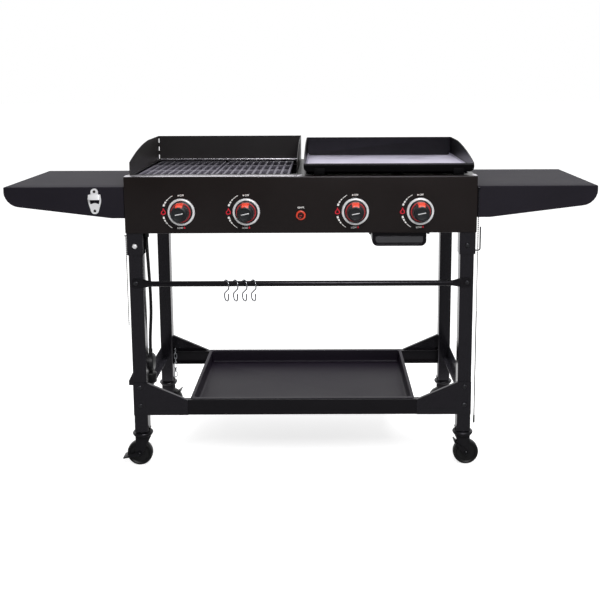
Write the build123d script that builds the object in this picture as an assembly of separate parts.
from build123d import *
import math
import os

# Gas grill and griddle combo on a wheeled cart, in millimetres.
# X runs across, Y runs back and Z up. The pieces are drawn with Y measured from the control panel's
# front face and are moved at the end, so that the origin is on the floor under the middle of the cart.

# Sheet metal and fits
SHEET = 1.5
PLATE = 2.5
RUNNING_GAP = 0.05
SEAT_GAP = 0.3
OVERCUT = 1.0

# Control panel and body
PANEL_WIDTH = 1004.0
PANEL_HEIGHT = 163.0
PANEL_TOP = 870.0
PANEL_FLANGE = 34.0
PANEL_RETURN = 30.0
BODY_DEPTH = 486.0
FIREBOX_FRONT = 62.0
RIM_WIDTH = 14.0
RIM_LAP = 8.0
LEDGE_DEPTH = 18.0

# Windscreen and griddle
SCREEN_HEIGHT = 81.0
SCREEN_LAP = 20.0
SCREEN_GAP = 10.0
SCREEN_FRONT = 37.0
SCREEN_INSET = 10.5
SCREEN_WING_HEIGHT = 38.0
SCREEN_ARC = (160.0, 65.0)
SCREEN_ARC_END = 315.0
SCREEN_FOOT = 7.0
RELIEF_SLOT = 14.0
RELIEF_PITCH = 27.0
RELIEF_START = 4.0
RELIEF_COUNT = 3
RELIEF_WIDTH = 3.0
GRIDDLE_FRONT = 14.0
GRIDDLE_SETBACK = 6.0
GRIDDLE_INSET = 8.0
GRIDDLE_PLATE = 5.0
GRIDDLE_WALL = 2.5
GRIDDLE_LIFT = 10.0
GRIDDLE_RIM_HEIGHT = 35.0
GUARD_HEIGHT = 75.0
GUARD_ARC = (150.0, 58.5)
GUARD_ARC_END = 330.0
GRIDDLE_FOOT = (16.0, 12.0)
SPOUT_RADIUS = 14.0
SPOUT_BACK = 80.0
SPOUT_CLEARANCE = 4.0

# Cooking grates and flame tamers
GRATE_SIDE_GAP = 17.0
GRATE_END_GAP = 12.75
GRATE_DIVIDER_GAP = 35.0
GRATE_BETWEEN = 7.0
GRATE_HEIGHT = 12.0
GRATE_DROP = 4.0
GRATE_BAR = 7.0
GRATE_CELLS = 10
GRATE_ROWS = 3
TAMER_WIDTH = 150.0
TAMER_RISE = 27.0
TAMER_DROP = 67.0

# Burners, valves and gas supply
BURNER_INSET = 162.0
BURNER_SPACING = 185.0
KNOB_DROP = 101.0
BURNER_RADIUS = 13.0
BURNER_WALL = 1.2
BURNER_FRONT = 54.0
BURNER_SETBACK = 56.0
MANIFOLD_RADIUS = 9.0
MANIFOLD_Y = 40.0
MANIFOLD_DROP = 130.0
MANIFOLD_OVERHANG = 16.0
MANIFOLD_BRACKET = 20.0
INLET_INSET = 52.0
INLET_RADIUS = 7.0
INLET_DROP = 14.0
VALVE_RADIUS = 11.0
VALVE_FRONT = 14.0
VALVE_BACK = 48.0
VALVE_CAVITY = 8.0
VALVE_WALL = 4.0
VALVE_BOSS = 6.0
JET_RADIUS = 5.0
JET_INSERT = 4.0
STEM_RADIUS = 4.0
STEM_COLLAR = 6.0
STEM_HOLE = 7.0
STEM_SOCKET = 14.0
STEM_TAIL = 12.0
WASHER = 2.0

# Knobs, bezels and igniter
KNOB_REACH = 47.0
KNOB_RADIUS = 28.0
KNOB_FACE = 17.0
KNOB_BACK = 6.0
KNOB_SKIRT = 5.0
KNOB_STEP = 4.0
KNOB_GRIP = 26.0
KNOB_NOSE = 24.0
KNOB_NOSE_LENGTH = 10.0
KNOB_SHOULDER = 22.0
KNOB_SHOULDER_LENGTH = 4.0
KNOB_RIM = 1.5
KNOB_DISH = 2.0
BEZEL_RADIUS = 39.0
BEZEL_RING = 9.0
BEZEL_HEIGHT = 5.0
BEZEL_ROUND = 2.0
POINTER = (25.0, 14.0, 10.0)
IGNITER_SINK = 111.0
IGNITER_RADIUS = 13.5
IGNITER_BODY = 11.5
IGNITER_BUTTON = 8.6
IGNITER_DEPTH = 29.0
IGNITER_COLLAR = 4.0
IGNITER_ROUND = 1.5
IGNITER_NUT = 5.0
IGNITER_END = 3.0
IGNITER_PROUD = 9.0
IGNITER_TAIL = 14.0

# Side shelves
SHELF_DROP = 29.0
SHELF_LENGTH = 341.5
SHELF_GAP = 1.5
SHELF_FRONT = 5.0
SHELF_SETBACK = 61.0
SKIRT_HEIGHT = 90.0
SKIRT_FLAT = 36.0
SKIRT_END = 57.0
SKIRT_CORNER = 38.0
SKIRT_TIP = 12.0
SKIRT_ROUND = 24.0
HINGE_PIN = 2.0
KNUCKLE = 4.5
HINGE_OUT = 4.0
HINGE_DROP = 1.0
HINGE_LENGTH = 60.0
HINGE_INSET = 55.0
LEAF_HEIGHT = 80.0
OPENER_OUT = 84.0
OPENER_DROP = 4.0
OPENER_HEIGHT = 73.0
OPENER_WIDTH = 38.0
OPENER_TAB = 10.5
OPENER_HOOD = 17.0
OPENER_HOOD_DROP = 18.0
OPENER_HOOD_PROUD = 7.5
OPENER_MOUTH = 13.0
OPENER_MOUTH_DROP = 31.5
OPENER_MOUTH_HEIGHT = 11.0
OPENER_MOUTH_LOW = 9.5
OPENER_SCREW_INSET = 9.0

# Grease tray
GREASE_INSET = 220.0
GREASE_WIDTH = 156.0
GREASE_FRONT = 14.0
GREASE_DEPTH = 150.0
GREASE_DROP = 3.0
GREASE_HEIGHT = 38.0
GREASE_CORNER = 16.0
GREASE_LIP = 7.0

# Cart frame
LEG = 40.0
LEG_WALL = 1.5
LEG_ROUND = 3.0
BOLT_GRIP = 3.0
LEG_INSET = 5.0
LEG_FRONT = 8.0
LEG_SETBACK = 10.0
BRACKET_PLATE = 3.0
BRACKET_HEIGHT = 64.0
PIVOT_DROP = 38.0
BAR_Z = 560.0
BAR_RADIUS = 8.0
BAR_TAB = (4.0, 26.0)
BAR_TAPER = 22.0
RAIL_BOTTOM = 161.0
RAIL_HEIGHT = 46.0
RAIL_FLANGE = 18.0
GUSSET_TOP = 260.0
GUSSET_INSET = 165.0
GUSSET_FLANGE = 7.0
GUSSET_BOLT_Z = (190.0, 246.0)
SIDE_RAIL_BOTTOM = 185.0
SIDE_RAIL_HEIGHT = 46.0
SIDE_RAIL_FLANGE = 20.0
TRAY_INSET = 171.0
TRAY_RIM = 8.0
TRAY_FLOOR = 166.0
BOLT_RADIUS = 3.0
BOLT_HEAD = 6.5
BOLT_HEAD_HEIGHT = 3.5

# Casters
CASTER_HEIGHT = 107.0
WHEEL_RADIUS = 37.5
WHEEL_WIDTH = 24.0
HUB_RADIUS = 12.0
WHEEL_RIM = 8.0
WHEEL_DISH = 4.0
WHEEL_ROUND = 3.0
AXLE_RADIUS = 4.0
TRAIL = 10.0
FORK_PLATE = 2.5
FORK_CLEARANCE = 1.5
FORK_HALF = 20.0
SWIVEL_RADIUS = 30.0
SWIVEL_HEIGHT = 11.0
STEM_PIN = 6.0
BRAKE_PLATE = 2.0
BRAKE_REACH = 50.0
BRAKE_CLEARANCE = 1.8
# One row for each caster: side, row, trail direction, pedal side, pedal angle below the horizontal
CASTERS = (
    ("front_left", -1, 0, -1, -1, 15.0),
    ("front_right", 1, 0, 1, -1, -45.0),
    ("rear_left", -1, 1, 1, 1, -45.0),
    ("rear_right", 1, 1, -1, 1, -45.0),
)

# Small hanging pieces
HOOK_WIRE = 2.0
HOOK_LOOP = 14.0
HOOK_LOWER = 11.5
HOOK_HEIGHT = 65.0
HOOK_TURN = 35.0
HOOK_TAIL = 18.0
HOOK_SHANK = 22.5
HOOK_RISE = 20.5
HOOK_BEND = 7.0
BEND_EASE = 0.2
HOOK_INSET = 286.0
HOOK_PITCH = 26.0
HOOK_COUNT = 4
BEAD = 1.8
BEAD_PITCH = 6.0
CHAIN_WIRE = 0.7
LIGHTER_COUNT = 60
LIGHTER_ROD = 336.0
LIGHTER_ROD_RADIUS = 1.5
LIGHTER_TIP_RADIUS = 2.5
LIGHTER_DROP = 5.0
TETHER_COUNT = 44
TETHER_Y = 22.0
TETHER_DROP = 10.0
EYE_PIN = 1.2
EYE_RING = 2.6
EYE_OUT = 5.0
EYE_HEAD = 1.0
LINK_WIRE = 2.6
LINK_LENGTH = 22.0
LINK_WIDTH = 12.0
LINK_COUNT = 3
TANK_CHAIN_OUT = 8.0
TANK_CHAIN_BACK = 10.0
TANK_CHAIN_TOP = 222.0
SIDE_HOOK_OUT = 17.0
SIDE_HOOK_DROP = 57.0
SIDE_HOOK_RISE = 69.0
TANK_BRACKET = (14.0, 42.0, 26.0)
TANK_BRACKET_LIP = 14.0
TANK_BRACKET_BOTTOM = 250.0

# Gas hose: its route is chosen by hand, as X, Y and Z from the inlet elbow's end, down to the regulator
# behind the front leg
HOSE_RADIUS = 4.75
HOSE_STEPS = (
    (0.0, 0.0, 0.0),
    (0.0, 0.0, -44.0),
    (2.0, 4.0, -114.0),
    (3.5, 13.0, -191.0),
    (1.5, 26.0, -268.0),
    (-4.5, 35.0, -326.0),
    (-7.0, 38.0, -360.0),
    (-7.0, 38.0, -384.0),
)
REGULATOR_RADIUS = 27.0
REGULATOR_THICK = 26.0
REGULATOR_DROP = 42.0
REGULATOR_SIDE = 2.0
NIPPLE_RADIUS = 6.0
NUT_RADIUS = 18.0
NUT_BORE = 14.0
NUT_HEIGHT = 30.0

# Values that follow from the sizes above
PANEL_HALF = PANEL_WIDTH / 2
PANEL_BOTTOM = PANEL_TOP - PANEL_HEIGHT
PANEL_Y = (KNOB_REACH - BODY_DEPTH) / 2
BOX_HALF = PANEL_HALF - SHEET
BOX_BACK = BODY_DEPTH - SHEET
BOX_INNER_FRONT = FIREBOX_FRONT + SHEET
BOX_INNER_BACK = BOX_BACK - SHEET
RIM_UNDER = PANEL_TOP - SHEET
SCREEN_TOP = PANEL_TOP + SCREEN_HEIGHT
GRIDDLE_RIM_TOP = PANEL_TOP + GRIDDLE_RIM_HEIGHT
GUARD_TOP = PANEL_TOP + GUARD_HEIGHT
GRIDDLE_BACK = BODY_DEPTH - GRIDDLE_SETBACK
GRIDDLE_LEFT = GRIDDLE_INSET
GRIDDLE_RIGHT = PANEL_HALF - GRIDDLE_INSET
GRATE_SEAT = PANEL_TOP - GRATE_DROP - GRATE_HEIGHT
GRATE_FRONT = BOX_INNER_FRONT + GRATE_END_GAP
GRATE_DEPTH = BOX_INNER_BACK - GRATE_END_GAP - GRATE_FRONT
GRATE_LEFT = -BOX_HALF + SHEET + GRATE_SIDE_GAP
GRATE_WIDTH = (-GRATE_DIVIDER_GAP - GRATE_BETWEEN - GRATE_LEFT) / 2
GRATE_STARTS = (GRATE_LEFT, GRATE_LEFT + GRATE_WIDTH + GRATE_BETWEEN)
TAMER_SEAT = PANEL_TOP - TAMER_DROP
BURNER_OUTER = PANEL_HALF - BURNER_INSET
BURNER_INNER = BURNER_OUTER - BURNER_SPACING
BURNER_X = (-BURNER_OUTER, -BURNER_INNER, BURNER_INNER, BURNER_OUTER)
BURNER_BACK = BODY_DEPTH - BURNER_SETBACK
KNOB_Z = PANEL_TOP - KNOB_DROP
IGNITER_Z = PANEL_TOP - IGNITER_SINK
MANIFOLD_Z = PANEL_TOP - MANIFOLD_DROP
MANIFOLD_END = BURNER_OUTER + MANIFOLD_OVERHANG
INLET_X = INLET_INSET - PANEL_HALF
INLET_END = MANIFOLD_Z - INLET_DROP
LEG_SPACING = BODY_DEPTH - LEG_SETBACK - LEG - LEG_FRONT
LEG_OUT = PANEL_HALF - LEG_INSET
LEG_IN = LEG_OUT - LEG
LEG_MIDDLE = LEG_OUT - LEG / 2
LEG_TOP = PANEL_BOTTOM - BRACKET_PLATE
LEG_BACK = LEG_FRONT + LEG_SPACING + LEG
RAIL_TOP = RAIL_BOTTOM + RAIL_HEIGHT
GUSSET_END = PANEL_HALF - GUSSET_INSET
TRAY_HALF = PANEL_HALF - TRAY_INSET
PIVOT_Z = PANEL_BOTTOM - PIVOT_DROP
SHELF_TOP = PANEL_TOP - SHELF_DROP
SHELF_ROOT = PANEL_HALF + SHELF_GAP
SHELF_REACH = SHELF_ROOT + SHELF_LENGTH
SHELF_DEPTH = BODY_DEPTH - SHELF_SETBACK - SHELF_FRONT
HINGE_X = PANEL_HALF + HINGE_OUT
HINGE_Z = SHELF_TOP - HINGE_DROP
HINGE_STARTS = (SHELF_FRONT + HINGE_INSET, SHELF_FRONT + SHELF_DEPTH - HINGE_INSET - HINGE_LENGTH)
OPENER_X = -PANEL_HALF - OPENER_OUT
OPENER_TOP = SHELF_TOP - OPENER_DROP
GREASE_X = PANEL_HALF - GREASE_INSET
GREASE_TOP = PANEL_BOTTOM - GREASE_DROP
HOOK_X = [HOOK_INSET - PANEL_HALF + n * HOOK_PITCH for n in range(HOOK_COUNT)]
LIGHTER_Y = SHELF_FRONT - EYE_RING - CHAIN_WIRE - SEAT_GAP
LIGHTER_TOP = SHELF_TOP - LIGHTER_DROP
TETHER_TOP = PANEL_BOTTOM - TETHER_DROP
SIDE_HOOK_BOTTOM = PANEL_BOTTOM - SIDE_HOOK_DROP
HOSE_ROUTE = [(INLET_X + x, MANIFOLD_Y + y, INLET_END + z) for x, y, z in HOSE_STEPS]


def block(x0, x1, y0, y1, z0, z1):
    """A box between two corners, given in any order."""
    middle = ((x0 + x1) / 2, (y0 + y1) / 2, (z0 + z1) / 2)
    return Pos(*middle) * Box(abs(x1 - x0), abs(y1 - y0), abs(z1 - z0))


def rod_x(radius, x0, x1, y, z):
    """A round bar along X."""
    return Pos((x0 + x1) / 2, y, z) * Rot(0, 90, 0) * Cylinder(radius, abs(x1 - x0))


def rod_y(radius, x, y0, y1, z):
    """A round bar along Y."""
    return Pos(x, (y0 + y1) / 2, z) * Rot(90, 0, 0) * Cylinder(radius, abs(y1 - y0))


def rod_z(radius, x, y, z0, z1):
    """A round bar along Z."""
    return Pos(x, y, (z0 + z1) / 2) * Cylinder(radius, abs(z1 - z0))


def plate_y(outline, y0, y1):
    """A flat plate across the cart: an outline in X and Z, given its thickness along Y."""
    face = make_face(Polyline(*outline, close=True))
    return extrude(Plane.XZ.offset(-min(y0, y1)) * face, -abs(y1 - y0))


def turned(x, z, outline):
    """A turned piece about an axis along Y, from an outline of (radius, y) points."""
    face = make_face(Polyline(*outline, close=True))
    return Pos(x, 0, z) * revolve(face, Axis.Y)


def write(name, *solids):
    """Moves a node's solids into the frame of the part and writes them."""
    placed = [Pos(0, PANEL_Y, 0) * solid for solid in solids]
    shape = placed[0] if len(placed) == 1 else Compound(children=placed)
    export_step(shape, os.path.join("parts", f"{name}.step"))


def wing(x0, x1, ends, heights, arc, arc_end):
    """A sheet standing along Y: an upright front edge, then a rising curve up to a level top."""
    front, back = ends
    bottom, front_top, top = heights
    middle = (arc[0], PANEL_TOP + arc[1])
    rise = Polyline((front, front_top), (front, bottom), (back, bottom), (back, top), (arc_end, top))
    curve = ThreePointArc((arc_end, top), middle, (front, front_top))
    face = Plane.YZ.offset(min(x0, x1)) * make_face([*rise.edges(), curve])
    return extrude(face, abs(x1 - x0))


def control_panel():
    """Folded front panel with its flanges and the holes for the stems and the igniter."""
    panel = block(-PANEL_HALF, PANEL_HALF, 0, SHEET, PANEL_BOTTOM, PANEL_TOP)
    for z in (PANEL_BOTTOM, RIM_UNDER):
        panel += block(-PANEL_HALF, PANEL_HALF, 0, PANEL_FLANGE, z, z + SHEET)
    for side in (-1, 1):
        panel += block(side * BOX_HALF, side * PANEL_HALF, 0, PANEL_RETURN, PANEL_BOTTOM, PANEL_TOP)
    for x in BURNER_X:
        panel -= rod_y(STEM_HOLE, x, -OVERCUT, SHEET + OVERCUT, KNOB_Z)
    panel -= rod_y(IGNITER_BODY + SEAT_GAP, 0, -OVERCUT, SHEET + OVERCUT, IGNITER_Z)
    return panel


def firebox():
    """Open-topped tub with a divider, a rim, and ledges for the grates and the flame tamers."""
    tub = block(-BOX_HALF, BOX_HALF, FIREBOX_FRONT, BOX_BACK, PANEL_BOTTOM, PANEL_BOTTOM + SHEET)
    tub += block(-BOX_HALF, BOX_HALF, BOX_INNER_BACK, BOX_BACK, PANEL_BOTTOM, PANEL_TOP)
    tub += block(-BOX_HALF, BOX_HALF, FIREBOX_FRONT, BOX_INNER_FRONT, PANEL_BOTTOM, PANEL_TOP)
    for side in (-1, 1):
        inner, outer = side * (BOX_HALF - SHEET), side * BOX_HALF
        tub += block(inner, outer, PANEL_FLANGE, BOX_BACK, PANEL_BOTTOM, PANEL_TOP)
        tub += block(inner, outer, SHEET, PANEL_FLANGE, PANEL_BOTTOM + SHEET, RIM_UNDER)
        tub += block(side * (BOX_HALF - RIM_WIDTH), outer, PANEL_FLANGE, BOX_BACK, RIM_UNDER, PANEL_TOP)
    tub += block(-BOX_HALF, BOX_HALF, PANEL_FLANGE, BOX_INNER_FRONT + SHEET, RIM_UNDER, PANEL_TOP)
    tub += block(-BOX_HALF, BOX_HALF, PANEL_FLANGE - RIM_LAP, BOX_INNER_FRONT, RIM_UNDER - SHEET, RIM_UNDER)
    tub += block(-BOX_HALF, BOX_HALF, BOX_BACK - RIM_WIDTH, BOX_BACK, RIM_UNDER, PANEL_TOP)
    tub += block(-SHEET / 2, SHEET / 2, FIREBOX_FRONT, BOX_BACK, PANEL_BOTTOM, PANEL_TOP)
    tub += block(-RIM_WIDTH, RIM_WIDTH, FIREBOX_FRONT, BOX_BACK, RIM_UNDER, PANEL_TOP)
    for seat in (GRATE_SEAT, TAMER_SEAT):
        tub += block(-BOX_HALF, 0, FIREBOX_FRONT, BOX_INNER_FRONT + LEDGE_DEPTH, seat - SHEET, seat)
        tub += block(-BOX_HALF, 0, BOX_INNER_BACK - LEDGE_DEPTH, BOX_BACK, seat - SHEET, seat)
    for x in BURNER_X:
        tub -= rod_y(BURNER_RADIUS + SEAT_GAP, x, FIREBOX_FRONT - OVERCUT, BOX_INNER_FRONT + OVERCUT, KNOB_Z)
    drain = SPOUT_RADIUS + SPOUT_CLEARANCE
    floor_top = PANEL_BOTTOM + SHEET
    tub -= rod_z(drain, GREASE_X, SPOUT_BACK, PANEL_BOTTOM - OVERCUT, floor_top + OVERCUT)
    return tub


def grill_windscreen():
    """Three-sided screen round the grill, folded at slotted corners and footed on the rim."""
    left, right = -PANEL_HALF + SCREEN_INSET, -SCREEN_GAP
    screen = block(left, right, BOX_BACK, BODY_DEPTH, PANEL_TOP - SCREEN_LAP, SCREEN_TOP)
    for outer, out in ((left, 1), (right, -1)):
        heights = (PANEL_TOP, PANEL_TOP + SCREEN_WING_HEIGHT, SCREEN_TOP)
        ends = (SCREEN_FRONT, BODY_DEPTH)
        screen += wing(outer, outer + out * SHEET, ends, heights, SCREEN_ARC, SCREEN_ARC_END)
        foot = block(outer + out * SHEET, outer - out * SCREEN_FOOT, PANEL_FLANGE, BOX_BACK,
                     PANEL_TOP, PANEL_TOP + SHEET)
        screen += foot
        for n in range(RELIEF_COUNT):
            z = PANEL_TOP + RELIEF_START + n * RELIEF_PITCH
            screen -= block(outer - out * OVERCUT, outer + out * RELIEF_WIDTH, BODY_DEPTH - RELIEF_WIDTH,
                            BODY_DEPTH + OVERCUT, z, z + RELIEF_SLOT)
    return screen


def griddle():
    """Welded griddle: a plate on feet with a grease spout, a front rim, a splash guard and two wings."""
    bottom = PANEL_TOP + GRIDDLE_LIFT
    rim_back = GRIDDLE_FRONT + GRIDDLE_WALL
    guard_front = GRIDDLE_BACK - GRIDDLE_WALL
    left, right = GRIDDLE_LEFT + GRIDDLE_WALL, GRIDDLE_RIGHT - GRIDDLE_WALL
    plate = block(left, right, rim_back, guard_front, bottom, bottom + GRIDDLE_PLATE)
    wide, deep = GRIDDLE_FOOT
    for x0, x1 in ((left + wide, left + 2 * wide), (right - 2 * wide, right - wide)):
        plate += block(x0, x1, rim_back, rim_back + deep, PANEL_TOP, bottom)
        plate += block(x0, x1, guard_front - deep / 2, guard_front, PANEL_TOP, bottom)
    spout_end = PANEL_BOTTOM + SHEET + SPOUT_CLEARANCE
    plate += rod_z(SPOUT_RADIUS, GREASE_X, SPOUT_BACK, spout_end, bottom)
    plate -= rod_z(SPOUT_RADIUS - SHEET, GREASE_X, SPOUT_BACK, spout_end - OVERCUT,
                   bottom + GRIDDLE_PLATE + OVERCUT)
    rim = block(left, right, GRIDDLE_FRONT, rim_back, bottom, GRIDDLE_RIM_TOP)
    guard = block(left, right, guard_front, GRIDDLE_BACK, bottom, GUARD_TOP)
    ends = (GRIDDLE_FRONT, GRIDDLE_BACK)
    heights = (bottom, GRIDDLE_RIM_TOP, GUARD_TOP)
    wings = [
        wing(x, x + GRIDDLE_WALL, ends, heights, GUARD_ARC, GUARD_ARC_END)
        for x in (GRIDDLE_LEFT, right)
    ]
    return [plate, rim, guard, *wings]


def grate(x0):
    """Cast cooking grate: a frame with long bars and cross bars."""
    y0 = GRATE_FRONT
    x1, y1 = x0 + GRATE_WIDTH, y0 + GRATE_DEPTH
    cell = (GRATE_WIDTH - GRATE_BAR) / GRATE_CELLS
    row = (GRATE_DEPTH - GRATE_BAR) / GRATE_ROWS
    casting = block(x0, x1, y0, y1, GRATE_SEAT, GRATE_SEAT + GRATE_HEIGHT)
    gaps = [
        block(x0 + GRATE_BAR + i * cell, x0 + (i + 1) * cell, y0 + GRATE_BAR + j * row, y0 + (j + 1) * row,
              GRATE_SEAT - OVERCUT, GRATE_SEAT + GRATE_HEIGHT + OVERCUT)
        for i in range(GRATE_CELLS)
        for j in range(GRATE_ROWS)
    ]
    return casting - gaps


def flame_tamer(x):
    """Folded roof of sheet over one grill burner."""
    half = TAMER_WIDTH / 2
    ridge = TAMER_SEAT + TAMER_RISE
    inner = half - 2 * SHEET
    outline = ((x - half, TAMER_SEAT), (x, ridge), (x + half, TAMER_SEAT), (x + inner, TAMER_SEAT),
               (x, ridge - SHEET), (x - inner, TAMER_SEAT))
    return plate_y(outline, FIREBOX_FRONT + 2 * SHEET, BOX_BACK - 2 * SHEET)


def burner_tube(x):
    """Burner tube with an open mouth over the valve's jet, a closed end and a rear foot."""
    tube = rod_y(BURNER_RADIUS, x, BURNER_FRONT, BURNER_BACK, KNOB_Z)
    tube -= rod_y(BURNER_RADIUS - BURNER_WALL, x, BURNER_FRONT - OVERCUT, BURNER_BACK - BURNER_WALL, KNOB_Z)
    foot = block(x - BURNER_RADIUS / 2, x + BURNER_RADIUS / 2, BURNER_BACK - SHEET, BURNER_BACK,
                 PANEL_BOTTOM + SHEET, KNOB_Z)
    return tube + foot


def manifold():
    """Gas rail behind the panel, with an inlet elbow and two brackets to the firebox."""
    rail = rod_x(MANIFOLD_RADIUS, INLET_X - MANIFOLD_RADIUS, MANIFOLD_END, MANIFOLD_Y, MANIFOLD_Z)
    rail += rod_z(INLET_RADIUS, INLET_X, MANIFOLD_Y, INLET_END, MANIFOLD_Z)
    for left, right in (BURNER_X[:2], BURNER_X[2:]):
        x = (left + right - MANIFOLD_BRACKET) / 2
        rail += block(x, x + MANIFOLD_BRACKET, MANIFOLD_Y, FIREBOX_FRONT,
                      MANIFOLD_Z - SHEET, MANIFOLD_Z + SHEET)
    return rail


def valve(x):
    """Gas valve on the manifold, hollow for the stem's collar, with a jet at the back."""
    cavity_front = VALVE_FRONT + VALVE_WALL
    body = rod_y(VALVE_RADIUS, x, VALVE_FRONT, VALVE_BACK, KNOB_Z)
    body += rod_z(VALVE_BOSS, x, MANIFOLD_Y, MANIFOLD_Z, KNOB_Z)
    body += rod_y(JET_RADIUS, x, VALVE_BACK, BURNER_FRONT + JET_INSERT, KNOB_Z)
    body -= rod_y(VALVE_CAVITY, x, cavity_front, VALVE_BACK - VALVE_WALL, KNOB_Z)
    body -= rod_y(STEM_RADIUS + RUNNING_GAP, x, VALVE_FRONT - OVERCUT, cavity_front, KNOB_Z)
    saddle = MANIFOLD_RADIUS + RUNNING_GAP
    return body - rod_x(saddle, x - VALVE_RADIUS, x + VALVE_RADIUS, MANIFOLD_Y, MANIFOLD_Z)


def stem(x):
    """Valve stem with a collar that bears on the spring washer."""
    collar = VALVE_FRONT + VALVE_WALL + SEAT_GAP
    shaft = rod_y(STEM_RADIUS, x, -KNOB_REACH + STEM_SOCKET, VALVE_BACK - STEM_TAIL, KNOB_Z)
    return shaft + rod_y(STEM_COLLAR, x, collar, collar + WASHER, KNOB_Z)


def spring_washer(x):
    """Washer inside the valve that the stem pushes back against the return spring."""
    front = VALVE_FRONT + VALVE_WALL + SEAT_GAP + WASHER
    ring = rod_y(VALVE_CAVITY - SEAT_GAP, x, front, front + WASHER, KNOB_Z)
    return ring - rod_y(STEM_RADIUS + SEAT_GAP, x, front - OVERCUT, front + WASHER + OVERCUT, KNOB_Z)


def knob(x):
    """Control knob: a skirted, tapered grip with a dished face, and its coloured pointer block."""
    bore = STEM_RADIUS + RUNNING_GAP
    seat = -KNOB_REACH + STEM_SOCKET - RUNNING_GAP
    skirt = -KNOB_BACK - KNOB_SKIRT
    dish = -KNOB_REACH + KNOB_DISH
    outline = (
        (bore, -KNOB_BACK),
        (KNOB_RADIUS, -KNOB_BACK),
        (KNOB_RADIUS, skirt),
        (KNOB_GRIP, skirt - KNOB_STEP),
        (KNOB_NOSE, -KNOB_REACH + KNOB_NOSE_LENGTH),
        (KNOB_SHOULDER, -KNOB_REACH + KNOB_SHOULDER_LENGTH),
        (KNOB_FACE + KNOB_RIM, -KNOB_REACH),
        (KNOB_FACE, -KNOB_REACH),
        (KNOB_FACE - KNOB_RIM, dish),
        (0, dish),
        (0, seat),
        (bore, seat),
    )
    grip = turned(x, KNOB_Z, outline)
    top = KNOB_Z + KNOB_RADIUS
    region = block(x - POINTER[0] / 2, x + POINTER[0] / 2, -KNOB_REACH - OVERCUT, -KNOB_REACH + POINTER[2],
                   top - POINTER[1], top)
    return grip - region, grip & region


def bezel(x):
    """Bright ring round a knob."""
    inner = BEZEL_RADIUS - BEZEL_RING
    shoulder = -BEZEL_HEIGHT + BEZEL_ROUND
    outline = ((inner, 0), (inner, shoulder), (inner + BEZEL_ROUND, -BEZEL_HEIGHT),
               (BEZEL_RADIUS - BEZEL_ROUND, -BEZEL_HEIGHT), (BEZEL_RADIUS, shoulder), (BEZEL_RADIUS, 0))
    return turned(x, KNOB_Z, outline)


def igniter_housing():
    """Igniter barrel with a front collar and a nut behind the panel."""
    bore = IGNITER_BUTTON + RUNNING_GAP
    nut = SHEET + IGNITER_NUT
    floor = IGNITER_DEPTH - IGNITER_END
    outline = ((bore, -IGNITER_COLLAR), (IGNITER_RADIUS - IGNITER_ROUND, -IGNITER_COLLAR),
               (IGNITER_RADIUS, -IGNITER_COLLAR + IGNITER_ROUND), (IGNITER_RADIUS, 0), (IGNITER_BODY, 0),
               (IGNITER_BODY, SHEET), (IGNITER_RADIUS, SHEET), (IGNITER_RADIUS, nut), (IGNITER_BODY, nut),
               (IGNITER_BODY, IGNITER_DEPTH), (0, IGNITER_DEPTH), (0, floor), (bore, floor))
    return turned(0, IGNITER_Z, outline)


def igniter_button():
    """Push button that slides in the igniter barrel."""
    shoulder = -IGNITER_PROUD + IGNITER_ROUND
    outline = ((0, -IGNITER_PROUD), (IGNITER_BUTTON - IGNITER_ROUND, -IGNITER_PROUD),
               (IGNITER_BUTTON, shoulder), (IGNITER_BUTTON, IGNITER_TAIL), (0, IGNITER_TAIL))
    return turned(0, IGNITER_Z, outline)


def shelf_profile(side):
    """Front view of a shelf: level for a short way at the root, then rising to a rounded tip."""
    root, tip = SHELF_ROOT, SHELF_REACH
    tip_corner = (tip, SHELF_TOP - SKIRT_TIP)
    end_corner = (tip - SKIRT_CORNER, SHELF_TOP - SKIRT_END)
    points = ((root, SHELF_TOP), (tip, SHELF_TOP), tip_corner, end_corner,
              (root + SKIRT_FLAT, SHELF_TOP - SKIRT_HEIGHT), (root, SHELF_TOP - SKIRT_HEIGHT))
    face = make_face(Polyline(*[(side * x, z) for x, z in points], close=True))
    end = face.vertices().sort_by_distance((side * end_corner[0], end_corner[1]))[0]
    face = fillet(end, SKIRT_ROUND)
    tip = face.vertices().sort_by_distance((side * tip_corner[0], tip_corner[1]))[0]
    return fillet(tip, SKIRT_TIP / 2)


def knuckle_spans(start):
    """Y spans of a hinge's three knuckles, with a running gap between them."""
    third = HINGE_LENGTH / 3
    return [(start + n * third + SEAT_GAP / 2, start + (n + 1) * third - SEAT_GAP / 2) for n in range(3)]


def shelf(side):
    """Folded shelf with deep tapered skirts and its half of the two hinges."""
    back = SHELF_FRONT + SHELF_DEPTH
    under = SHELF_TOP - SHEET
    skirt_bottom = SHELF_TOP - SKIRT_HEIGHT
    pan = extrude(Plane.XZ.offset(-SHELF_FRONT) * shelf_profile(side), -SHELF_DEPTH)
    pan -= block(side * (SHELF_ROOT + SHEET), side * (SHELF_REACH - SHEET),
                 SHELF_FRONT + SHEET, back - SHEET, skirt_bottom - OVERCUT, under)
    slot = HINGE_X + KNUCKLE + SEAT_GAP
    for start in HINGE_STARTS:
        end = start + HINGE_LENGTH
        pan -= block(side * (SHELF_ROOT - OVERCUT), side * slot, start - SEAT_GAP, end + SEAT_GAP,
                     HINGE_Z - KNUCKLE - SEAT_GAP, SHELF_TOP + OVERCUT)
        for y0, y1 in knuckle_spans(start)[::2]:
            pan += rod_y(KNUCKLE, side * HINGE_X, y0, y1, HINGE_Z)
            pan += block(side * HINGE_X, side * (slot + SHEET), y0, y1, under - SHEET, SHELF_TOP)
        pan -= rod_y(HINGE_PIN + RUNNING_GAP, side * HINGE_X, start - OVERCUT, end + OVERCUT, HINGE_Z)
    return pan


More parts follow.
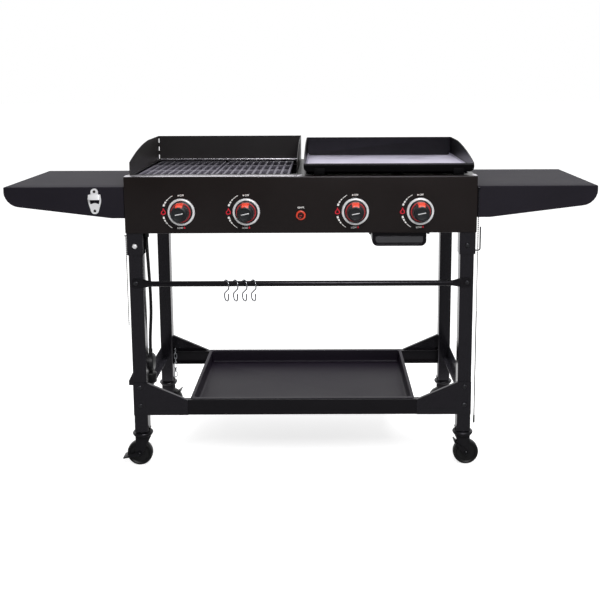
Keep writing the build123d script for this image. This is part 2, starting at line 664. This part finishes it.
def hinge_leaf(side, start):
    """Leaf on the firebox's side with the middle knuckle: the shelf's end bears on it when it is down."""
    face = SHELF_ROOT - SEAT_GAP
    leaf = block(side * BOX_HALF, side * face, start, start + HINGE_LENGTH,
                 HINGE_Z - KNUCKLE - SEAT_GAP - LEAF_HEIGHT, HINGE_Z - KNUCKLE - SEAT_GAP)
    y0, y1 = knuckle_spans(start)[1]
    leaf += block(side * BOX_HALF, side * face, y0, y1, HINGE_Z - KNUCKLE - SHEET, HINGE_Z)
    leaf += rod_y(KNUCKLE, side * HINGE_X, y0, y1, HINGE_Z)
    return leaf - rod_y(HINGE_PIN + RUNNING_GAP, side * HINGE_X, y0 - OVERCUT, y1 + OVERCUT, HINGE_Z)


def hinge_pin(side, start):
    """Hinge pin through three knuckles."""
    return rod_y(HINGE_PIN, side * HINGE_X, start, start + HINGE_LENGTH, HINGE_Z)


def bottle_opener():
    """Pressed opener on the left shelf's front skirt: a bowed plate with a mouth and a lifting tooth."""
    x, half, tab = OPENER_X, OPENER_WIDTH / 2, OPENER_TAB
    face = SHELF_FRONT
    low = OPENER_TOP - OPENER_HEIGHT
    hood_top = OPENER_TOP - OPENER_HOOD_DROP
    mouth_top = OPENER_TOP - OPENER_MOUTH_DROP
    mouth_low = mouth_top - OPENER_MOUTH_HEIGHT
    outline = ((x - tab, OPENER_TOP), (x + tab, OPENER_TOP), (x + tab, hood_top), (x + half, hood_top),
               (x + half, mouth_low), (x + tab, low), (x - tab, low), (x - half, mouth_low),
               (x - half, hood_top), (x - tab, hood_top))
    proud = face - PLATE - OPENER_HOOD_PROUD
    opener = plate_y(outline, face, face - PLATE)
    opener += block(x - OPENER_HOOD, x + OPENER_HOOD, face - PLATE, proud, mouth_top, hood_top)
    mouth = ((x - OPENER_MOUTH, mouth_top), (x + OPENER_MOUTH, mouth_top),
             (x + OPENER_MOUTH_LOW, mouth_low), (x - OPENER_MOUTH_LOW, mouth_low))
    opener -= plate_y(mouth, face + OVERCUT, proud - OVERCUT)
    for z in (OPENER_TOP - OPENER_SCREW_INSET, low + OPENER_SCREW_INSET):
        opener += rod_y(BOLT_RADIUS, x, face - PLATE - SHEET, face - PLATE, z)
    return opener


def grease_section(wall):
    """Cross-section of the grease tray, drawn in by a wall thickness: round lower corners."""
    half = GREASE_WIDTH / 2 - wall
    bottom = GREASE_TOP - GREASE_HEIGHT + wall
    top = GREASE_TOP + wall
    face = make_face(Polyline((-half, top), (half, top), (half, bottom), (-half, bottom), close=True))
    low = face.vertices().sort_by(Axis.Y)[:2]
    return Pos(GREASE_X, 0) * fillet(low, GREASE_CORNER - wall)


def grease_tray():
    """Pressed grease drawer with side lips that run in its rails."""
    back = GREASE_FRONT + GREASE_DEPTH
    tray = extrude(Plane.XZ.offset(-GREASE_FRONT) * grease_section(0), -GREASE_DEPTH)
    hollow = Plane.XZ.offset(-GREASE_FRONT - SHEET) * grease_section(SHEET)
    tray -= extrude(hollow, 2 * SHEET - GREASE_DEPTH)
    for side in (-1, 1):
        edge = GREASE_X + side * GREASE_WIDTH / 2
        tray += block(edge - side * SHEET, edge + side * GREASE_LIP, GREASE_FRONT, back,
                      GREASE_TOP - SHEET, GREASE_TOP)
    return tray


def grease_rail(side):
    """Angle rail under the firebox that carries one lip of the grease tray."""
    edge = GREASE_X + side * GREASE_WIDTH / 2
    inner, outer = edge + side * SEAT_GAP, edge + side * (GREASE_LIP + SEAT_GAP)
    low = GREASE_TOP - SHEET - SEAT_GAP
    back = GREASE_FRONT + GREASE_DEPTH
    rail = block(outer, outer + side * SHEET, GREASE_FRONT, back, low - SHEET, PANEL_BOTTOM)
    return rail + block(inner + side * SHEET, outer, GREASE_FRONT, back, low - SHEET, low)


def leg_face(row):
    """The Y of a leg's outward face and the direction that it looks in: front row, then rear row."""
    return (LEG_FRONT, -1) if row == 0 else (LEG_BACK, 1)


def leg(side, row):
    """Square tube leg, drilled for its pivot bolt, its gusset bolts and, in front, the tool bar's bolt."""
    face, out = leg_face(row)
    tube = block(side * LEG_IN, side * LEG_OUT, face, face - out * LEG, CASTER_HEIGHT, LEG_TOP)
    tube = fillet(tube.edges().filter_by(Axis.Z), LEG_ROUND)
    tube -= block(side * (LEG_IN + LEG_WALL), side * (LEG_OUT - LEG_WALL), face - out * LEG_WALL,
                  face - out * (LEG - LEG_WALL), CASTER_HEIGHT - OVERCUT, LEG_TOP + OVERCUT)
    for z in bolt_heights(row):
        tube -= rod_y(BOLT_RADIUS + RUNNING_GAP, side * LEG_MIDDLE, face + out, face - out * BOLT_GRIP, z)
    return tube


def bolt_heights(row):
    """Heights of the bolts in a leg: gusset, pivot and, in the front row, tool bar."""
    return (*GUSSET_BOLT_Z, PIVOT_Z, BAR_Z) if row == 0 else (*GUSSET_BOLT_Z, PIVOT_Z)


def bolt_stand(z):
    """Thickness of what a leg bolt clamps to the leg's face at a height."""
    if z == PIVOT_Z:
        return BRACKET_PLATE
    if z == BAR_Z:
        return BAR_TAB[0]
    return PLATE


def leg_bolt(side, row, z):
    """Domed bolt through a plate into the leg's wall."""
    face, out = leg_face(row)
    seat = face + out * bolt_stand(z)
    head = rod_y(BOLT_HEAD, side * LEG_MIDDLE, seat, seat + out * BOLT_HEAD_HEIGHT, z)
    rim = head.edges().group_by(Axis.Y)[-1 if out > 0 else 0]
    head = chamfer(rim, BOLT_HEAD_HEIGHT / 2)
    return head + rod_y(BOLT_RADIUS, side * LEG_MIDDLE, seat, face - out * BOLT_GRIP, z)


def leg_bracket(side, row):
    """Channel under the firebox that wraps the top of a leg."""
    face, out = leg_face(row)
    low = PANEL_BOTTOM - BRACKET_HEIGHT
    inner, outer = side * (LEG_IN - BRACKET_PLATE), side * (LEG_OUT + BRACKET_PLATE)
    front = face + out * BRACKET_PLATE
    deep = face - out * (LEG - 2 * BRACKET_PLATE)
    channel = block(inner, outer, front, face, low, PANEL_BOTTOM)
    channel += block(inner, side * LEG_IN, front, deep, low, PANEL_BOTTOM)
    channel += block(side * LEG_OUT, outer, front, deep, low, PANEL_BOTTOM)
    channel += block(inner, outer, front, deep, LEG_TOP, PANEL_BOTTOM)
    hole = BOLT_RADIUS + RUNNING_GAP
    return channel - rod_y(hole, side * LEG_MIDDLE, front + out, face - out, PIVOT_Z)


def tool_bar():
    """Round bar across the front legs, its ends pressed flat and bolted to the legs."""
    y = LEG_FRONT - BAR_RADIUS
    neck = LEG_IN - BAR_TAPER
    bar = rod_x(BAR_RADIUS, -neck, neck, y, BAR_Z)
    for side in (-1, 1):
        round_end = Pos(side * neck, y, BAR_Z) * Rot(0, 90, 0) * Circle(BAR_RADIUS)
        flat_y = LEG_FRONT - BAR_TAB[0] / 2
        flat = Ellipse(BAR_TAB[1] / 2, BAR_TAB[0] / 2)
        flat_end = Pos(side * LEG_IN, flat_y, BAR_Z) * Rot(0, 90, 0) * flat
        bar += loft([round_end, flat_end])
        tab = block(side * (LEG_IN - OVERCUT), side * (LEG_OUT - BAR_RADIUS), LEG_FRONT,
                    LEG_FRONT - BAR_TAB[0], BAR_Z - BAR_TAB[1] / 2, BAR_Z + BAR_TAB[1] / 2)
        bar += fillet(tab.edges().filter_by(Axis.Y), BAR_TAB[1] / 4)
        bar -= rod_y(BOLT_RADIUS + RUNNING_GAP, side * LEG_MIDDLE, LEG_FRONT + OVERCUT, 0, BAR_Z)
    return bar


def gusset(side, row):
    """Bolted corner plate between a leg and its rail, with a turned-in sloping edge."""
    face, out = leg_face(row)
    outline = ((side * LEG_OUT, RAIL_BOTTOM), (side * LEG_OUT, GUSSET_TOP), (side * LEG_IN, GUSSET_TOP),
               (side * GUSSET_END, RAIL_TOP), (side * GUSSET_END, RAIL_BOTTOM))
    plate = plate_y(outline, face, face + out * PLATE)
    slope = math.hypot(LEG_IN - GUSSET_END, GUSSET_TOP - RAIL_TOP)
    drop = PLATE * slope / (LEG_IN - GUSSET_END)
    edge = ((side * LEG_IN, GUSSET_TOP), (side * GUSSET_END, RAIL_TOP),
            (side * GUSSET_END, RAIL_TOP - SEAT_GAP), (side * LEG_IN, GUSSET_TOP - drop))
    deep = face - out * GUSSET_FLANGE
    below = block(side * GUSSET_END, side * LEG_IN, face, deep, RAIL_BOTTOM, RAIL_TOP)
    plate += plate_y(edge, face + out * PLATE, deep) - below
    for z in GUSSET_BOLT_Z:
        plate -= rod_y(BOLT_RADIUS + RUNNING_GAP, side * LEG_MIDDLE, face + 2 * out * PLATE, face - out, z)
    return plate


def cross_rail(row):
    """Channel between two legs, open to the inside, that carries an edge of the bottom tray."""
    face, out = leg_face(row)
    rail = block(-LEG_IN, LEG_IN, face, face - out * PLATE, RAIL_BOTTOM, RAIL_TOP)
    for z in (RAIL_BOTTOM, RAIL_TOP - PLATE):
        rail += block(-LEG_IN, LEG_IN, face, face - out * RAIL_FLANGE, z, z + PLATE)
    return rail


def side_rail(side):
    """Angle between a front and a rear leg, its lower flange turned in."""
    y0, y1 = LEG_FRONT + LEG, LEG_FRONT + LEG_SPACING
    top = SIDE_RAIL_BOTTOM + SIDE_RAIL_HEIGHT
    outer = LEG_OUT - PLATE
    rail = block(side * outer, side * (outer - PLATE), y0, y1, SIDE_RAIL_BOTTOM, top)
    low = SIDE_RAIL_BOTTOM
    return rail + block(side * outer, side * (outer - SIDE_RAIL_FLANGE), y0, y1, low, low + PLATE)


def bottom_tray():
    """Drop-in pan whose rim rests on the two cross rails."""
    y0, y1 = LEG_FRONT + RAIL_FLANGE + SEAT_GAP, LEG_BACK - RAIL_FLANGE - SEAT_GAP
    half = TRAY_HALF - TRAY_RIM
    top = RAIL_TOP + SHEET
    pan = block(-half, half, y0, y1, TRAY_FLOOR, top)
    rim = RAIL_FLANGE - 2 * PLATE
    pan += block(-TRAY_HALF, TRAY_HALF, y0 - rim, y1 + rim, RAIL_TOP, top)
    floor = TRAY_FLOOR + SHEET
    return pan - block(-half + SHEET, half - SHEET, y0 + SHEET, y1 - SHEET, floor, top + OVERCUT)


def caster_place(side, row):
    """The X and Y of a caster's stem, in the middle of its leg."""
    face, out = leg_face(row)
    return side * LEG_MIDDLE, face - out * LEG / 2


def caster_stem(side, row):
    """Fixed half of a caster: a plug in the leg's end, a washer plate and the headed swivel pin."""
    x, y = caster_place(side, row)
    half = LEG / 2 - LEG_WALL - RUNNING_GAP
    disc_top = CASTER_HEIGHT - PLATE - SEAT_GAP
    disc_low = disc_top - SWIVEL_HEIGHT
    plug = block(x - half, x + half, y - half, y + half, CASTER_HEIGHT, CASTER_HEIGHT + LEG / 2)
    plug += rod_z(LEG / 2, x, y, CASTER_HEIGHT - PLATE, CASTER_HEIGHT)
    plug += rod_z(STEM_PIN, x, y, disc_low - SEAT_GAP, CASTER_HEIGHT)
    return plug + rod_z(STEM_PIN + PLATE, x, y, disc_low - SEAT_GAP - PLATE, disc_low - SEAT_GAP)


def fork(side, row, trail):
    """Swivelling half of a caster: a ball-race disc over two cheeks, and the axle bolt through them."""
    x, y = caster_place(side, row)
    axle_x = x + trail * TRAIL
    disc_top = CASTER_HEIGHT - PLATE - SEAT_GAP
    disc_low = disc_top - SWIVEL_HEIGHT
    inner = WHEEL_WIDTH / 2 + FORK_CLEARANCE
    outer = inner + FORK_PLATE
    disc = rod_z(SWIVEL_RADIUS, x, y, disc_low, disc_top)
    disc = chamfer(disc.edges().filter_by(GeomType.CIRCLE), SWIVEL_HEIGHT / 4)
    cheek = ((x - FORK_HALF, disc_low + OVERCUT), (x + FORK_HALF, disc_low + OVERCUT),
             (axle_x + HUB_RADIUS, WHEEL_RADIUS - HUB_RADIUS / 2), (axle_x, WHEEL_RADIUS - HUB_RADIUS),
             (axle_x - HUB_RADIUS, WHEEL_RADIUS - HUB_RADIUS / 2))
    for out in (-1, 1):
        plate = plate_y(cheek, y + out * inner, y + out * outer)
        disc += plate - rod_y(AXLE_RADIUS + RUNNING_GAP, axle_x, y - 2 * outer, y + 2 * outer, WHEEL_RADIUS)
    disc -= rod_z(STEM_PIN + RUNNING_GAP, x, y, disc_low - OVERCUT, disc_top + OVERCUT)
    end = outer + BRAKE_PLATE + 2 * SEAT_GAP
    axle = rod_y(AXLE_RADIUS, axle_x, y - end, y + end, WHEEL_RADIUS)
    for out in (-1, 1):
        axle += rod_y(BOLT_HEAD, axle_x, y + out * end, y + out * (end + BOLT_HEAD_HEIGHT), WHEEL_RADIUS)
    return disc, axle


def wheel(side, row, trail):
    """Moulded wheel with a rounded tread, a dished face and a raised hub."""
    x, y = caster_place(side, row)
    half = WHEEL_WIDTH / 2
    rim = WHEEL_RADIUS - WHEEL_RIM
    dish = half - WHEEL_DISH
    bore = AXLE_RADIUS + RUNNING_GAP
    right = [(bore, half), (HUB_RADIUS, half), (HUB_RADIUS, dish), (rim, dish), (rim, half),
             (WHEEL_RADIUS - WHEEL_ROUND, half),
             (WHEEL_RADIUS - WHEEL_ROUND / 3, half - 2 * WHEEL_ROUND / 3),
             (WHEEL_RADIUS, half - 2 * WHEEL_ROUND)]
    left = [(r, -depth) for r, depth in reversed(right)]
    return Pos(0, y, 0) * turned(x + trail * TRAIL, WHEEL_RADIUS, [*right, *left])


def brake(side, row, trail, pedal, angle):
    """Brake pedal: two arms on the axle outside the fork, joined by a tread plate over the tyre."""
    x, y = caster_place(side, row)
    axle_x = x + trail * TRAIL
    inner = WHEEL_WIDTH / 2 + FORK_CLEARANCE + FORK_PLATE + SEAT_GAP
    outer = inner + BRAKE_PLATE
    near = WHEEL_RADIUS + BRAKE_CLEARANCE
    half = HUB_RADIUS / 2
    bail = block(near, BRAKE_REACH, -outer, outer, -BRAKE_PLATE, BRAKE_PLATE)
    for out in (-1, 1):
        arm = block(0, near + OVERCUT, out * inner, out * outer, -half, half)
        arm += rod_y(BOLT_HEAD, 0, out * inner, out * outer, 0)
        bail += arm - rod_y(AXLE_RADIUS + RUNNING_GAP, 0, out * (inner - OVERCUT),
                            out * (outer + OVERCUT), 0)
    level = 180 if pedal < 0 else 0
    return Pos(axle_x, y, WHEEL_RADIUS) * Rot(0, level + pedal * angle, 0) * bail


def tool_hook(x):
    """Bent-wire S hook: a wide loop over the tool bar and a narrower hook below it."""
    top = BAR_RADIUS + SEAT_GAP + HOOK_WIRE
    low = top + HOOK_WIRE - HOOK_HEIGHT + HOOK_WIRE
    middle = low + HOOK_RISE
    points = ((-HOOK_LOOP, top - HOOK_TAIL), (-HOOK_LOOP, top), (HOOK_LOOP, top),
              (HOOK_LOOP, top - HOOK_SHANK), (-HOOK_LOWER, middle), (-HOOK_LOWER, low), (HOOK_LOWER, low),
              (HOOK_LOWER, middle + HOOK_WIRE))
    upper, lower = HOOK_LOOP - BEND_EASE, HOOK_LOWER - BEND_EASE
    bends = (upper, upper, HOOK_BEND, HOOK_BEND, lower, lower)
    path = FilletPolyline(*[(0, -u, v) for u, v in points], radius=bends)
    wire = sweep(Plane(path @ 0, z_dir=path % 0) * Circle(HOOK_WIRE), path)
    return Pos(x, LEG_FRONT - BAR_RADIUS, BAR_Z) * Rot(0, 0, HOOK_TURN) * wire


def bead_chain(beads):
    """Ball chain hanging down from the origin: beads on a thin wire, in one turned piece."""
    length = beads * BEAD_PITCH
    chain = rod_z(CHAIN_WIRE, 0, 0, -length, -EYE_RING)
    return chain + [Pos(0, 0, -(n + 1) * BEAD_PITCH) * Sphere(BEAD) for n in range(beads)]


def eye_ring():
    """Small ring at the top of a chain, round an eye pin along X through the origin."""
    return Rot(0, 90, 0) * Torus(EYE_RING, CHAIN_WIRE)


def eye_pin(side, y, z, seat):
    """Pin that a chain's ring hangs on, with a head on its free end."""
    end = PANEL_HALF + EYE_OUT + 2 * CHAIN_WIRE
    pin = rod_x(EYE_PIN, side * seat, side * end, y, z)
    return pin + rod_x(2 * EYE_PIN, side * end, side * (end + EYE_HEAD), y, z)


def chain_hang(side, y, z):
    """Where a chain hangs: its ring's centre is below the pin by the ring's own play."""
    drop = EYE_RING - CHAIN_WIRE - EYE_PIN - RUNNING_GAP
    return Pos(side * (PANEL_HALF + EYE_OUT - 2 * CHAIN_WIRE), y, z - drop)


def lighter_rod():
    """Straight wire match holder at the end of the lighting chain."""
    top = -LIGHTER_COUNT * BEAD_PITCH - BEAD
    rod = rod_z(LIGHTER_ROD_RADIUS, 0, 0, top - LIGHTER_ROD, top)
    return rod + rod_z(LIGHTER_TIP_RADIUS, 0, 0, top - LIGHTER_ROD, top - LIGHTER_ROD + LINK_LENGTH)


def oval_link():
    """One oval chain link standing in the XZ plane, centred on the origin."""
    half = LINK_WIDTH / 2 - LINK_WIRE / 2
    rise = LINK_LENGTH / 2 - LINK_WIRE / 2
    corners = ((-half, 0, -rise), (-half, 0, rise), (half, 0, rise), (half, 0, -rise))
    path = FilletPolyline(*corners, radius=half - BEND_EASE, close=True)
    return sweep(Plane(path @ 0, z_dir=path % 0) * Circle(LINK_WIRE / 2), path)


def tank_chain():
    """Short chain on a pin in the rear left leg: links turned a quarter from each other and a snap hook."""
    x = -LEG_IN + TANK_CHAIN_OUT
    y = LEG_FRONT + LEG_SPACING + TANK_CHAIN_BACK
    pitch = LINK_LENGTH - 2 * LINK_WIRE - SEAT_GAP
    middle = TANK_CHAIN_TOP - LINK_LENGTH / 2
    links = [
        Pos(x, y, middle - n * pitch) * Rot(0, 0, 90 * ((n + 1) % 2)) * oval_link()
        for n in range(LINK_COUNT)
    ]
    hook_top = TANK_CHAIN_TOP - LINK_COUNT * pitch
    barrel_top = hook_top - LINK_LENGTH
    hook = Pos(x, y, hook_top - LINK_LENGTH / 2) * oval_link()
    hook += rod_z(LINK_WIDTH / 4, x, y, barrel_top - LINK_WIDTH, barrel_top + LINK_WIRE / 2)
    hook += Pos(x, y, barrel_top - LINK_WIDTH - LINK_LENGTH / 2 + LINK_WIRE / 2) * oval_link()
    return [*links, hook]


def tank_chain_pin():
    """Pin in the rear left leg's inner face that carries the tank chain."""
    z = TANK_CHAIN_TOP - LINK_WIRE - SEAT_GAP - EYE_PIN
    y = LEG_FRONT + LEG_SPACING + TANK_CHAIN_BACK
    end = -LEG_IN + TANK_CHAIN_OUT + 2 * LINK_WIRE
    return rod_x(EYE_PIN, -LEG_IN, end, y, z) + rod_x(2 * EYE_PIN, end, end + EYE_HEAD, y, z)


def side_hook():
    """J-shaped wire hook standing off the front right bracket."""
    inner = LEG_OUT + BRACKET_PLATE
    outer = inner + SIDE_HOOK_OUT
    y = LEG_FRONT + LEG / 2
    path = FilletPolyline((inner, y, SIDE_HOOK_BOTTOM), (outer, y, SIDE_HOOK_BOTTOM),
                          (outer, y, SIDE_HOOK_BOTTOM + SIDE_HOOK_RISE), radius=3 * HOOK_WIRE)
    return sweep(Plane(path @ 0, z_dir=path % 0) * Circle(HOOK_WIRE), path)


def tank_bracket():
    """Wedge-shaped gas tank bracket on the outside of the front left leg."""
    out, height, depth = TANK_BRACKET
    y = LEG_FRONT + (LEG - depth) / 2
    low = TANK_BRACKET_BOTTOM
    lip = low + TANK_BRACKET_LIP
    root, tip = -LEG_OUT, -LEG_OUT - out
    wedge = plate_y(((root, low), (tip, low), (tip, lip), (root, low + height)), y, y + depth)
    inside = ((root - PLATE, low - OVERCUT), (tip + PLATE, low - OVERCUT), (tip + PLATE, lip - PLATE),
              (root - PLATE, low + height - 3 * PLATE))
    return wedge - plate_y(inside, y + PLATE, y + depth - PLATE)


def hose():
    """Gas hose hanging from the inlet elbow: straight runs joined by the largest arcs that fit."""
    points = [Vector(*point) for point in HOSE_ROUTE]
    runs = [points[n + 1] - points[n] for n in range(len(points) - 1)]
    radii = [
        0.45 * min(before.length, after.length) / math.tan(math.radians(before.get_angle(after) / 2))
        for before, after in zip(runs, runs[1:])
    ]
    print("hose bend radii", [round(radius) for radius in radii])
    path = FilletPolyline(*points, radius=radii)
    tube = sweep(Plane(path @ 0, z_dir=path % 0) * Circle(HOSE_RADIUS), path)
    print("hose length", round(path.length, 1), "volume over section", round(
        tube.volume / (math.pi * HOSE_RADIUS ** 2), 1))
    return tube


def regulator():
    """Pressure regulator at the hose's end: a round housing with a vent boss and a hose nipple."""
    x, y, z = HOSE_ROUTE[-1]
    centre, middle = x - REGULATOR_SIDE, z - REGULATOR_DROP
    half = REGULATOR_THICK / 2
    body = rod_x(REGULATOR_RADIUS, centre - half, centre + half, y, middle)
    body = chamfer(body.edges().filter_by(GeomType.CIRCLE), half / 3)
    body += rod_x(REGULATOR_RADIUS / 2, centre - half - REGULATOR_THICK / 3, centre - half, y, middle)
    body += rod_z(NIPPLE_RADIUS, x, y, middle, z)
    return body + rod_z(NUT_BORE / 2, centre, y, middle - REGULATOR_RADIUS - 2 * PLATE, middle)


def tank_nut():
    """Hand nut that screws on to a gas tank's valve, open underneath."""
    x, y, z = HOSE_ROUTE[-1]
    centre = x - REGULATOR_SIDE
    top = z - REGULATOR_DROP - REGULATOR_RADIUS - 2 * PLATE
    nut = rod_z(NUT_RADIUS, centre, y, top - NUT_HEIGHT, top)
    nut = chamfer(nut.edges().filter_by(GeomType.CIRCLE), SHEET)
    return nut - rod_z(NUT_BORE, centre, y, top - NUT_HEIGHT - OVERCUT, top - 2 * PLATE)


os.makedirs("parts", exist_ok=True)
SIDES = (-1, 1)
ROWS = (0, 1)

write("control_panel", control_panel())
write("firebox", firebox())
write("grill_windscreen", grill_windscreen())
write("griddle_plate", *griddle())
write("grate_left", grate(GRATE_STARTS[0]))
write("grate_right", grate(GRATE_STARTS[1]))
write("flame_tamers", *[flame_tamer(x) for x in BURNER_X[:2]])
write("burner_tubes", *[burner_tube(x) for x in BURNER_X])
write("gas_manifold", manifold())
write("gas_valves", *[valve(x) for x in BURNER_X])
write("knob_bezels", *[bezel(x) for x in BURNER_X])
for number, burner_x in enumerate(BURNER_X, 1):
    write(f"knob_{number}", *knob(burner_x), stem(burner_x))
    write(f"valve_washer_{number}", spring_washer(burner_x))
write("igniter_housing", igniter_housing())
write("igniter_button", igniter_button())
write("left_shelf", shelf(-1))
write("right_shelf", shelf(1))
write("shelf_hinges", *[piece(side, start) for piece in (hinge_leaf, hinge_pin) for side in SIDES
                        for start in HINGE_STARTS])
write("bottle_opener", bottle_opener())
write("grease_tray", grease_tray())
write("grease_tray_rails", *[grease_rail(side) for side in SIDES])
write("front_legs", *[leg(side, 0) for side in SIDES])
write("rear_legs", *[leg(side, 1) for side in SIDES])
write("leg_brackets", *[leg_bracket(side, row) for side in SIDES for row in ROWS])
write("leg_bolts", *[leg_bolt(side, row, z) for side in SIDES for row in ROWS for z in bolt_heights(row)])
write("tool_bar", tool_bar())
write("gusset_plates", *[gusset(side, row) for side in SIDES for row in ROWS])
write("cross_rails", *[cross_rail(row) for row in ROWS])
write("side_rails", *[side_rail(side) for side in SIDES])
write("bottom_tray", bottom_tray())
write("caster_stems", *[caster_stem(side, row) for side in SIDES for row in ROWS])
for place, side, row, trail, pedal, angle in CASTERS:
    write(f"caster_fork_{place}", *fork(side, row, trail))
    write(f"caster_wheel_{place}", wheel(side, row, trail))
    write(f"caster_brake_{place}", brake(side, row, trail, pedal, angle))
for number, hook_x in enumerate(HOOK_X, 1):
    write(f"tool_hook_{number}", tool_hook(hook_x))
lighter = chain_hang(1, LIGHTER_Y, LIGHTER_TOP)
write("lighting_stick", lighter * eye_ring(), lighter * bead_chain(LIGHTER_COUNT), lighter * lighter_rod())
tether = chain_hang(-1, TETHER_Y, TETHER_TOP)
write("tether_chain", tether * eye_ring(), tether * bead_chain(TETHER_COUNT))
write("leg_fittings", side_hook(), tank_bracket(), eye_pin(1, LIGHTER_Y, LIGHTER_TOP, PANEL_HALF),
      eye_pin(-1, TETHER_Y, TETHER_TOP, LEG_OUT + BRACKET_PLATE), tank_chain_pin())
write("tank_chain", *tank_chain())
write("gas_hose", hose())
write("regulator", regulator())
write("tank_nut", tank_nut())
